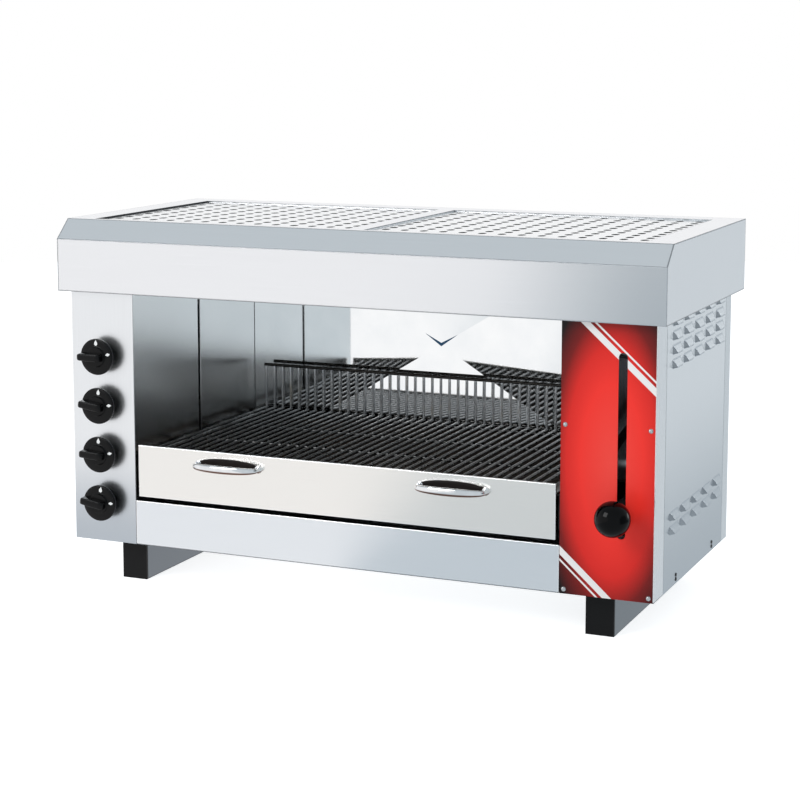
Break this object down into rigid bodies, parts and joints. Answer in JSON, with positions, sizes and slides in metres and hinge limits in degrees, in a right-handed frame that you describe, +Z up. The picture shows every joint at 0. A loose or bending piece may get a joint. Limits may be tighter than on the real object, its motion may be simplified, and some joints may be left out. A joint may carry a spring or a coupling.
{
  "type": "gas salamander grill",
  "caption": "Counter-top gas salamander grill: overhead radiant burners, pull-out grid tray raised by a side lever, gas knobs, louvred sides and a perforated top.",
  "frame": {"origin": "on the surface that the feet stand on, under the middle of the overall box", "axes": "+Z up, front towards -Y, +X to the right of a person who faces the front"},
  "size_m": [1.05, 0.5525, 0.614],
  "materials": {
    "brushed_steel": "brushed stainless sheet",
    "polished_steel": "mirror-polished stainless sheet",
    "bright_steel": "bright satin perforated stainless plate",
    "zinc_steel": "zinc-plated steel",
    "red_panel": "gloss red enamel with white stripes",
    "chrome": "polished chrome",
    "black_plastic": "moulded, slightly grained",
    "black_gloss": "polished phenolic",
    "black_steel": "heat-blackened steel",
    "dark_enamel": "dark fired enamel",
    "grid_enamel": "black enamelled steel rod",
    "plated_wire": "nickel-plated wire, heat-tinted",
    "brass": "machined brass",
    "ceramic": "perforated ceramic"
  },
  "bodies": {
    "cabinet": {"hood": "brushed_steel", "left_column": "brushed_steel", "right_column": "brushed_steel", "left_side_panel": "brushed_steel", "right_side_panel": "brushed_steel", "rear_cover": "brushed_steel", "left_foot": "brushed_steel", "right_foot": "brushed_steel", "lower_front_panel": "brushed_steel", "left_cavity_wall": "brushed_steel", "right_cavity_wall": "brushed_steel", "cavity_back": "polished_steel", "left_top_plate": "bright_steel", "right_top_plate": "bright_steel", "panel_screws": "zinc_steel", "side_rivets": "zinc_steel", "rear_screws": "zinc_steel", "shaft_cover": "zinc_steel", "base_pan": "zinc_steel", "foot_bolts": "zinc_steel", "left_guide_rod": "zinc_steel", "right_guide_rod": "zinc_steel", "left_shaft_bearing": "zinc_steel", "right_shaft_bearing": "zinc_steel", "burner_rails": "zinc_steel", "burner_pipes": "zinc_steel", "control_panel": "red_panel", "foot_caps": "black_plastic", "burner_1": "black_steel", "burner_2": "black_steel", "burner_3": "black_steel", "burner_4": "black_steel", "gas_valves": "brass", "gas_manifold": "brass", "burner_tiles": "ceramic"},
    "carriage": {"left_hanger": "zinc_steel", "right_hanger": "zinc_steel", "carriage_yoke": "black_steel", "left_tray_rail": "black_steel", "right_tray_rail": "black_steel"},
    "lever": {"lift_shaft": "zinc_steel", "left_lift_arm": "zinc_steel", "right_lift_arm": "zinc_steel", "hand_lever": "black_steel", "ball_grip": "black_gloss"},
    "tray": {"tray_pan": "dark_enamel", "tray_front": "brushed_steel", "left_handle": "chrome", "right_handle": "chrome", "grid_rods": "grid_enamel", "grid_bars": "grid_enamel", "grid_fence": "plated_wire"},
    "spindle_body_1": {"spindle_1": "zinc_steel"},
    "knob_body_1": {"knob_1": "black_plastic"},
    "spindle_body_2": {"spindle_2": "zinc_steel"},
    "knob_body_2": {"knob_2": "black_plastic"},
    "spindle_body_3": {"spindle_3": "zinc_steel"},
    "knob_body_3": {"knob_3": "black_plastic"},
    "spindle_body_4": {"spindle_4": "zinc_steel"},
    "knob_body_4": {"knob_4": "black_plastic"}
  },
  "joints": [
    {"name": "tray_lift", "type": "slide", "parent": "cabinet", "child": "carriage", "axis": [0, 0, 1], "range_m": [0, 0.113]},
    {"name": "lever_swing", "type": "hinge", "parent": "cabinet", "child": "lever", "pos_m": [0, 0.24775, 0.307], "axis": [-1, 0, 0], "range_deg": [0, 27.98]},
    {"name": "tray_slide", "type": "slide", "parent": "carriage", "child": "tray", "axis": [0, -1, 0], "range_m": [0, 0.3]},
    {"name": "knob_turn_1", "type": "hinge", "parent": "cabinet", "child": "spindle_body_1", "pos_m": [-0.4495, -0.21975, 0.139], "axis": [0, -1, 0], "range_deg": [0, 180]},
    {"name": "knob_push_1", "type": "slide", "parent": "spindle_body_1", "child": "knob_body_1", "axis": [0, 1, 0], "range_m": [0, 0.004], "stiffness_N_per_m": 600, "springref_m": -0.01},
    {"name": "knob_turn_2", "type": "hinge", "parent": "cabinet", "child": "spindle_body_2", "pos_m": [-0.4495, -0.21975, 0.222], "axis": [0, -1, 0], "range_deg": [0, 180]},
    {"name": "knob_push_2", "type": "slide", "parent": "spindle_body_2", "child": "knob_body_2", "axis": [0, 1, 0], "range_m": [0, 0.004], "stiffness_N_per_m": 600, "springref_m": -0.01},
    {"name": "knob_turn_3", "type": "hinge", "parent": "cabinet", "child": "spindle_body_3", "pos_m": [-0.4495, -0.21975, 0.305], "axis": [0, -1, 0], "range_deg": [0, 180]},
    {"name": "knob_push_3", "type": "slide", "parent": "spindle_body_3", "child": "knob_body_3", "axis": [0, 1, 0], "range_m": [0, 0.004], "stiffness_N_per_m": 600, "springref_m": -0.01},
    {"name": "knob_turn_4", "type": "hinge", "parent": "cabinet", "child": "spindle_body_4", "pos_m": [-0.4495, -0.21975, 0.388], "axis": [0, -1, 0], "range_deg": [0, 180]},
    {"name": "knob_push_4", "type": "slide", "parent": "spindle_body_4", "child": "knob_body_4", "axis": [0, 1, 0], "range_m": [0, 0.004], "stiffness_N_per_m": 600, "springref_m": -0.01}
  ],
  "couplings": [
    {"joint": "lever_swing", "follows": "tray_lift", "rad_per_m": 4.3058}
  ]
}
